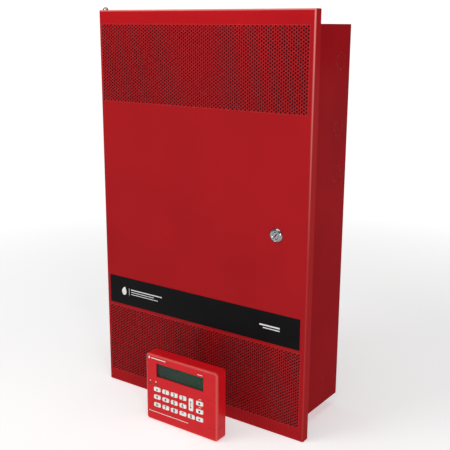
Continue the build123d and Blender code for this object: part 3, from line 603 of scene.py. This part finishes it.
def keypad_prints():
    """Rule line under the keys, and small signs over the lamps, the display and the side keys."""
    corner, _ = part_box("keypad_front")
    left, low, face = corner.x, corner.z, corner.y
    outlines = [
        bar(left + 7 * MM, low + 20.0 * MM, 101 * MM, 1.3 * MM),
        arrow(left + 12 * MM, low + 87 * MM, 1.8 * MM, UP),
        disc(left + 26.5 * MM, low + 87 * MM, 1.4 * MM),
        flame(left + 10 * MM, low + 137 * MM, 4.2 * MM),
        bar(left + 15 * MM, low + 135.8 * MM, 37 * MM, 1.8 * MM),
        bar(left + 131 * MM, low + 130.8 * MM, 12 * MM, 1.2 * MM),
        bar(left + 134 * MM, low + 79.2 * MM, 6 * MM, 1.2 * MM),
        bar(left + 134 * MM, low + 62.3 * MM, 6 * MM, 1.2 * MM),
    ]
    shapes = [prism(outline, face - 0.03 * MM, face) for outline in outlines]
    joined("keypad_print", shapes, white_ink, "keypad")


key_marks()
keypad_prints()


# ---------------------------------------------------------------- fittings inside the cabinet
# The boards' layout in mm, as in the CAD. Chips: centre, width, height, and whether all sides have pins.
CHIPS = ((-60, 190, 28, 28, True), (-130, 190, 24, 36, False), (-130, 250, 30, 14, False),
         (-70, 250, 16, 16, True), (0, 215, 20, 20, True), (-120, -60, 24, 24, True), (40, -60, 24, 24, True))
# Capacitors: centre, radius, height.
CAPACITORS = ((55, 130, 9, 26), (80, 130, 9, 26), (55, 155, 9, 26), (80, 155, 9, 26), (-20, 285, 5, 13),
              (-4, 285, 5, 13), (12, 285, 5, 13), (-75, -105, 5, 13), (85, -105, 5, 13), (-12, 120, 5, 13))
BOARD_SCREWS = [(x, z) for x in (-179, 104) for z in (66, 319)]
BOARD_SCREWS += [(x, z) for x in (-179, -51, -24, 104) for z in (-144, 24)]
# Terminal strips: left end, foot, poles.
TERMINALS = [(-169 + 66 * n, 62, 11) for n in range(4)] + [(-173, -148, 20), (-18, -148, 20)]
POLE_PITCH, SCREW_RISE = 5.8, 4.8

PIN_PITCH, FIRST_PIN = 2.0 * MM, 1.4 * MM
PIN_W, PIN_L, PIN_H = 0.8 * MM, 1.8 * MM, 0.5 * MM
PIN_OUT = 0.8 * MM              # from the chip's side to the middle of a pin
HEAD_RINGS = ((1.0, 1.1), (0.98, 0.6), (0.8, 0.2), (0.45, 0.0))  # share of the radius, mm behind the front
HEAD_SIDES = 20
CROSS = (0.0, math.pi / 2)


def screw_head(x, z, front, radius):
    """Domed head that faces the door."""
    points, faces = [], []
    for share, back in HEAD_RINGS:
        points += [(px, front + back * MM, pz) for px, pz in disc(x, z, radius * share, HEAD_SIDES)]
    for ring in range(len(HEAD_RINGS) - 1):
        base = ring * HEAD_SIDES
        for step in range(HEAD_SIDES):
            after = (step + 1) % HEAD_SIDES
            faces.append((base + step, base + after, base + HEAD_SIDES + after, base + HEAD_SIDES + step))
    faces.append(tuple(range(len(points) - HEAD_SIDES, len(points))))
    faces.append(tuple(range(HEAD_SIDES - 1, -1, -1)))
    return points, faces


def slot_mark(x, z, front, length, width, turn):
    """A thin dark bar, turned about its middle: painted shade for a slot or a score, which has no depth of
    its own.
    """
    along = Vector((math.cos(turn), math.sin(turn))) * length / 2
    over = Vector((-math.sin(turn), math.cos(turn))) * width / 2
    corners = (-along - over, along - over, along + over, over - along)
    return prism([(x + corner.x, z + corner.y) for corner in corners], front, front + 0.05 * MM)


def chip_pins(front):
    """Short pins along the sides of each chip, lying on the board."""
    pins = []
    for x, z, wide, tall, square in CHIPS:
        x, z, wide, tall = (value * MM for value in (x, z, wide, tall))
        for side in (-1, 1):
            edge = x + side * (wide / 2 + PIN_OUT)
            for step in range(int(tall / PIN_PITCH)):
                foot = z - tall / 2 + FIRST_PIN + PIN_PITCH * step
                pins.append(prism(bar(edge - PIN_L / 2, foot, PIN_L, PIN_W), front - PIN_H, front))
            edge = z + side * (tall / 2 + PIN_OUT)
            for step in range(int(wide / PIN_PITCH) if square else 0):
                left = x - wide / 2 + FIRST_PIN + PIN_PITCH * step
                pins.append(prism(bar(left, edge - PIN_L / 2, PIN_W, PIN_L), front - PIN_H, front))
    joined("chip_pins", pins, looks["battery_metal"], "cabinet")


def board_print(front):
    """A white line below and above each chip."""
    lines = []
    for x, z, wide, tall, _ in CHIPS:
        x, z, wide, tall = (value * MM for value in (x, z, wide, tall))
        for low in (z - tall / 2 - 3.4 * MM, z + tall / 2 + 2.8 * MM):
            lines.append(prism(bar(x - wide / 2, low, wide, 0.5 * MM), front - 0.03 * MM, front))
    joined("board_print", lines, silk_ink, "cabinet")


def capacitor_tops(front):
    """The bare metal end of each capacitor, scored with a cross."""
    ends, scores = [], []
    for x, z, radius, rise in CAPACITORS:
        x, z, radius, face = x * MM, z * MM, radius * MM, front - (rise + 0.3) * MM
        ends.append(prism(disc(x, z, radius * 0.9, 24), face, face + 0.4 * MM))
        for turn in CROSS:
            scores.append(slot_mark(x, z, face - 0.05 * MM, radius * 1.2, 0.5 * MM, 0.8 + turn))
    joined("capacitor_ends", ends, can_metal, "cabinet")
    joined("capacitor_scores", scores, looks["component_black"], "cabinet")


def board_screws(front):
    """Cross-headed screws at the boards' corners, and slotted ones in the terminal strips."""
    heads, slots = [], []
    for x, z in BOARD_SCREWS:
        x, z = x * MM, z * MM
        heads.append(screw_head(x, z, front - 3.4 * MM, 2.8 * MM))
        for turn in CROSS:
            slots.append(slot_mark(x, z, front - 3.45 * MM, 2.6 * MM, 0.6 * MM, 0.5 + turn))
    strip_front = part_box("terminal_strips")[0].y
    for west, foot, poles in TERMINALS:
        for pole in range(poles):
            x, z = (west + (pole + 0.5) * POLE_PITCH) * MM, (foot + SCREW_RISE) * MM
            heads.append(screw_head(x, z, strip_front + 1.2 * MM, 1.95 * MM))
            turn = random.uniform(0, 3)
            slots.append(slot_mark(x, z, strip_front + 1.15 * MM, 3.2 * MM, 0.6 * MM, turn))
    joined("board_screws", heads, looks["zinc_steel"], "cabinet")
    joined("board_screw_slots", slots, looks["component_black"], "cabinet")


LABEL_INK = 0.04 * MM
CARD_T = 0.12 * MM
LABEL_LINES = (50, 66, 40, 58)  # widths in mm


def battery_labels():
    """A plain pale label with rule lines on the front of each battery."""
    for side in ("left", "right"):
        low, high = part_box("battery_" + side)
        middle, face, top = (low.x + high.x) / 2, low.y - CARD_T, high.z - 22 * MM
        card = prism(bar(middle - 42 * MM, top - 34 * MM, 84 * MM, 30 * MM), face, low.y)
        joined("battery_label_" + side, [card], silk_ink, "cabinet")
        lines = [prism(bar(middle - 36 * MM, top - (11 + 6 * row) * MM, width * MM, 1.6 * MM),
                       face - LABEL_INK, face) for row, width in enumerate(LABEL_LINES)]
        joined("battery_label_lines_" + side, lines, black_ink, "cabinet")


board_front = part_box("main_board")[0].y
chip_pins(board_front)
board_print(board_front)
capacitor_tops(board_front)
board_screws(board_front)
battery_labels()


# ---------------------------------------------------------------- stage, light and camera
FLOOR_SIZE = 12.0
FLOOR_GLOW, FAR_GLOW = 0.45, 1.03
FLOOR_FADE = (0.8, 1.8)         # the matt floor turns plain white between these distances
WORLD_LIGHT, WORLD_SEEN = 0.22, 1.05
WHITE = (1.0, 1.0, 1.0, 1.0)
BLACK = (0.0, 0.0, 0.0, 1.0)

# The camera, from the door's lower left front corner: right of it, in front of it and above its foot.
CAMERA_FROM_DOOR = (1175.1 * MM, -1220.7 * MM, 783.7 * MM)
CAMERA_TURN, CAMERA_TILT, CAMERA_ROLL = math.radians(35.08), math.radians(14.14), math.radians(0.297)
CAMERA_LENS, CAMERA_SENSOR = 63.38, 36.0


def make_floor():
    """A pale sweep: matt near the part, where shadows fall, and plain white farther out."""
    corners = [(x * FLOOR_SIZE, y * FLOOR_SIZE, cad_low.z) for x, y in ((-1, -1), (1, -1), (1, 1), (-1, 1))]
    floor = bpy.data.meshes.new("floor")
    floor.from_pydata(corners, [], [(0, 1, 2, 3)])
    made = Surface("floor_paper", Specular_IOR_Level=0.0)
    reach = made.node("ShaderNodeVectorMath", operation="LENGTH")
    made.link(made.place, reach.inputs[0])
    far = made.between(reach.outputs["Value"], 0.0, 1.0, *FLOOR_FADE)
    paper = made.blend(made.noise(2.0), linear(226, 226, 226), linear(228, 228, 228))
    made.colour(made.blend(far, paper, BLACK))
    made.roughness(made.between(made.noise(20.0), 0.85, 0.95))
    glow = made.blend(far, (FLOOR_GLOW, FLOOR_GLOW, FLOOR_GLOW, 1.0), (FAR_GLOW, FAR_GLOW, FAR_GLOW, 1.0))
    made.link(glow, made.shader.inputs["Emission Color"])
    made.shader.inputs["Emission Strength"].default_value = 1.0
    floor.materials.append(made.material)
    stage = bpy.data.objects.new("floor", floor)
    bpy.context.scene.collection.objects.link(stage)


def put_light(data, place, target):
    """Places a light and turns it to its target."""
    light = bpy.data.objects.new(data.name, data)
    light.location = place
    light.rotation_mode = "QUATERNION"
    light.rotation_quaternion = (Vector(target) - Vector(place)).to_track_quat("-Z", "Y")
    bpy.context.scene.collection.objects.link(light)


def area_light(name, place, target, size, power):
    """A softbox of size (width, height) in metres."""
    data = bpy.data.lights.new(name, "AREA")
    data.shape = "RECTANGLE"
    data.size, data.size_y = size
    data.energy = power
    put_light(data, place, target)


def spot_light(name, place, target, angle, blend, power):
    """A soft-edged spot; angle is its whole cone in degrees."""
    data = bpy.data.lights.new(name, "SPOT")
    data.spot_size, data.spot_blend = math.radians(angle), blend
    data.shadow_soft_size = 0.12
    data.energy = power
    put_light(data, place, target)


def make_world():
    """A dim even light on the part, seen by the camera as white."""
    world = bpy.data.worlds.new("studio")
    bpy.context.scene.world = world
    world.use_nodes = True
    tree = world.node_tree
    lit, seen = tree.nodes["Background"], tree.nodes.new("ShaderNodeBackground")
    for background, strength in ((lit, WORLD_LIGHT), (seen, WORLD_SEEN)):
        background.inputs["Color"].default_value = WHITE
        background.inputs["Strength"].default_value = strength
    path = tree.nodes.new("ShaderNodeLightPath")
    mix = tree.nodes.new("ShaderNodeMixShader")
    tree.links.new(path.outputs["Is Camera Ray"], mix.inputs["Fac"])
    tree.links.new(lit.outputs["Background"], mix.inputs[1])
    tree.links.new(seen.outputs["Background"], mix.inputs[2])
    tree.links.new(mix.outputs["Shader"], tree.nodes["World Output"].inputs["Surface"])


def make_camera():
    """The camera at the photo's place, turned left, tilted down and rolled slightly."""
    data = bpy.data.cameras.new("camera")
    data.lens, data.sensor_width = CAMERA_LENS, CAMERA_SENSOR
    data.clip_end = 100.0
    camera = bpy.data.objects.new("camera", data)
    across = Vector((math.cos(CAMERA_TURN), math.sin(CAMERA_TURN), 0.0))
    level = Vector((-math.sin(CAMERA_TURN), math.cos(CAMERA_TURN), 0.0))
    ahead = level * math.cos(CAMERA_TILT) - Vector((0, 0, 1)) * math.sin(CAMERA_TILT)
    above = Vector((0, 0, 1)) * math.cos(CAMERA_TILT) + level * math.sin(CAMERA_TILT)
    right = across * math.cos(CAMERA_ROLL) + above * math.sin(CAMERA_ROLL)
    upward = above * math.cos(CAMERA_ROLL) - across * math.sin(CAMERA_ROLL)
    place = Vector(door_low) + Vector(CAMERA_FROM_DOOR)
    camera.matrix_world = Matrix((
        (right.x, upward.x, -ahead.x, place.x),
        (right.y, upward.y, -ahead.y, place.y),
        (right.z, upward.z, -ahead.z, place.z),
        (0, 0, 0, 1),
    ))
    bpy.context.scene.collection.objects.link(camera)
    bpy.context.scene.camera = camera


make_floor()
make_world()
centre = (door_low + door_high) / 2
area_light("key", (-1.1, -1.9, 1.7), centre, (1.4, 1.0), 18)
area_light("overhead", (0.2, -0.6, 2.4), (0.2, -0.3, 0), (2.0, 2.0), 24)
area_light("front", (1.75, -1.65, 0.5), centre, (0.3, 0.6), 9)
spot_light("top", (0.2, -2.3, 0.9), (0.0, door_low.y, 1.35), 56, 0.4, 130)
make_camera()
bpy.context.scene.view_settings.view_transform = "Standard"
